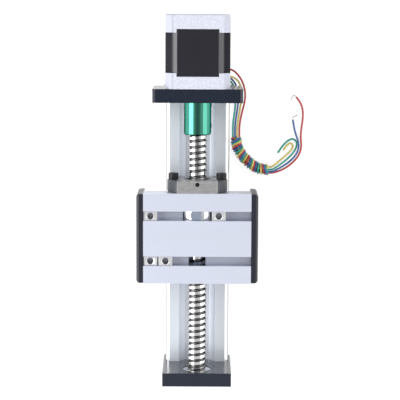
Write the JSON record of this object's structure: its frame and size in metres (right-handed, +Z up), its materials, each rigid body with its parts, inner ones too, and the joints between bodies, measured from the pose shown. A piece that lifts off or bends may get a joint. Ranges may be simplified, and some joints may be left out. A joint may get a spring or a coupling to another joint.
{
  "type": "stepper linear actuator",
  "caption": "Motorised ball screw stage with a slotted roller-guided carriage on a low extruded base, a green shaft coupling, a square stepper motor and loose leads.",
  "frame": {"origin": "middle of the base's footprint, on the plane that it stands on, without the leads", "axes": "+Y along the screw towards the motor, +Z up through the carriage's table, +X to the right seen from above with the motor at the top, the side where the leads come out"},
  "size_m": [0.1131, 0.2466, 0.0611],
  "materials": {
    "black_anodised": "satin black anodised",
    "clear_anodised": "fine matt clear anodised",
    "green_anodised": "glossy green anodised",
    "cast_aluminium": "bead blasted casting",
    "nut_steel": "ground, slightly grainy",
    "screw_steel": "rolled and polished",
    "rod_steel": "ground and polished",
    "bearing_steel": "polished",
    "slot_nut_steel": "bright nickel plated",
    "dark_screws": "black oxide",
    "bright_screws": "bright zinc plated",
    "lamination": "black, fine vertical grain",
    "winding": "enamelled copper",
    "rotor_iron": "machined",
    "cap_plastic": "moulded, fine texture",
    "wiper_plastic": "moulded",
    "wheel_steel": "hardened and ground",
    "grommet_rubber": "soft, matt",
    "lead_red": "soft insulation",
    "lead_yellow": "soft insulation",
    "lead_blue": "soft insulation",
    "lead_green": "soft insulation",
    "lead_mixed": "four soft insulated leads wound together",
    "tinned": "tinned copper strands"
  },
  "bodies": {
    "base": {"base_extrusion": "clear_anodised", "bearing_balls": "bearing_steel", "bearing_outer_ring": "bearing_steel", "bearing_shields": "bearing_steel", "end_plate": "black_anodised", "end_plate_screws": "dark_screws", "guide_rod_left": "rod_steel", "guide_rod_right": "rod_steel", "lead_blue_run": "lead_blue", "lead_blue_tail": "lead_blue", "lead_bundle": "lead_mixed", "lead_green_run": "lead_green", "lead_green_tail": "lead_green", "lead_grommet": "grommet_rubber", "lead_red_run": "lead_red", "lead_red_tail": "lead_red", "lead_tips": "tinned", "lead_yellow_run": "lead_yellow", "lead_yellow_tail": "lead_yellow", "motor_bearing_front": "bearing_steel", "motor_bearing_rear": "bearing_steel", "motor_front_bell": "cast_aluminium", "motor_mount_screws": "dark_screws", "motor_plate": "black_anodised", "motor_plate_screws": "dark_screws", "motor_rear_bell": "cast_aluminium", "motor_tie_screws": "bright_screws", "stator_coils": "winding", "stator_stack": "lamination"},
    "spindle": {"ball_screw": "screw_steel", "bearing_inner_ring": "bearing_steel", "screw_circlip": "dark_screws", "coupling": "green_anodised", "coupling_set_screws": "dark_screws", "motor_shaft": "rod_steel", "rotor": "rotor_iron"},
    "carriage": {"carriage_plate": "clear_anodised", "end_cap_left": "cap_plastic", "end_cap_right": "cap_plastic", "cap_screws": "dark_screws", "ball_nut": "nut_steel", "nut_wipers": "wiper_plastic", "ball_return_plug": "nut_steel", "nut_flange_screws": "dark_screws", "roller_cores": "bearing_steel", "roller_spacers": "bearing_steel", "roller_screws": "dark_screws"},
    "wheel_1": {"roller_wheel_1": "wheel_steel"},
    "wheel_2": {"roller_wheel_2": "wheel_steel"},
    "wheel_3": {"roller_wheel_3": "wheel_steel"},
    "wheel_4": {"roller_wheel_4": "wheel_steel"},
    "slot_nut_1": {"t_nut_1": "slot_nut_steel"},
    "slot_nut_2": {"t_nut_2": "slot_nut_steel"},
    "slot_nut_3": {"t_nut_3": "slot_nut_steel"},
    "slot_nut_4": {"t_nut_4": "slot_nut_steel"}
  },
  "joints": [
    {"name": "carriage_slide", "type": "slide", "parent": "base", "child": "carriage", "axis": [0, 1, 0], "range_m": [-0.058, 0.027]},
    {"name": "screw_spin", "type": "hinge", "parent": "base", "child": "spindle", "pos_m": [0, 0, 0.04], "axis": [0, 1, 0], "range_deg": [-2441, 5231]},
    {"name": "roller_spin_1", "type": "hinge", "parent": "carriage", "child": "wheel_1", "pos_m": [-0.0276, -0.0071, 0.0155], "axis": [0, 0, 1], "range_deg": [-600, 600]},
    {"name": "roller_spin_2", "type": "hinge", "parent": "carriage", "child": "wheel_2", "pos_m": [0.0276, -0.0071, 0.0155], "axis": [0, 0, 1], "range_deg": [-600, 600]},
    {"name": "roller_spin_3", "type": "hinge", "parent": "carriage", "child": "wheel_3", "pos_m": [-0.0276, -0.0401, 0.0155], "axis": [0, 0, 1], "range_deg": [-600, 600]},
    {"name": "roller_spin_4", "type": "hinge", "parent": "carriage", "child": "wheel_4", "pos_m": [0.0276, -0.0401, 0.0155], "axis": [0, 0, 1], "range_deg": [-600, 600]},
    {"name": "slot_nut_slide_1", "type": "slide", "parent": "carriage", "child": "slot_nut_1", "axis": [1, 0, 0], "range_m": [0, 0.0155]},
    {"name": "slot_nut_slide_2", "type": "slide", "parent": "carriage", "child": "slot_nut_2", "axis": [1, 0, 0], "range_m": [0, 0.016]},
    {"name": "slot_nut_slide_3", "type": "slide", "parent": "carriage", "child": "slot_nut_3", "axis": [1, 0, 0], "range_m": [0, 0.0009]},
    {"name": "slot_nut_slide_4", "type": "slide", "parent": "carriage", "child": "slot_nut_4", "axis": [1, 0, 0], "range_m": [0, 0.051]}
  ],
  "couplings": [
    {"joint": "screw_spin", "follows": "carriage_slide", "rad_per_m": -1570.8},
    {"joint": "roller_spin_1", "follows": "carriage_slide", "rad_per_m": -163.93},
    {"joint": "roller_spin_2", "follows": "carriage_slide", "rad_per_m": 163.93},
    {"joint": "roller_spin_3", "follows": "carriage_slide", "rad_per_m": -163.93},
    {"joint": "roller_spin_4", "follows": "carriage_slide", "rad_per_m": 163.93}
  ]
}
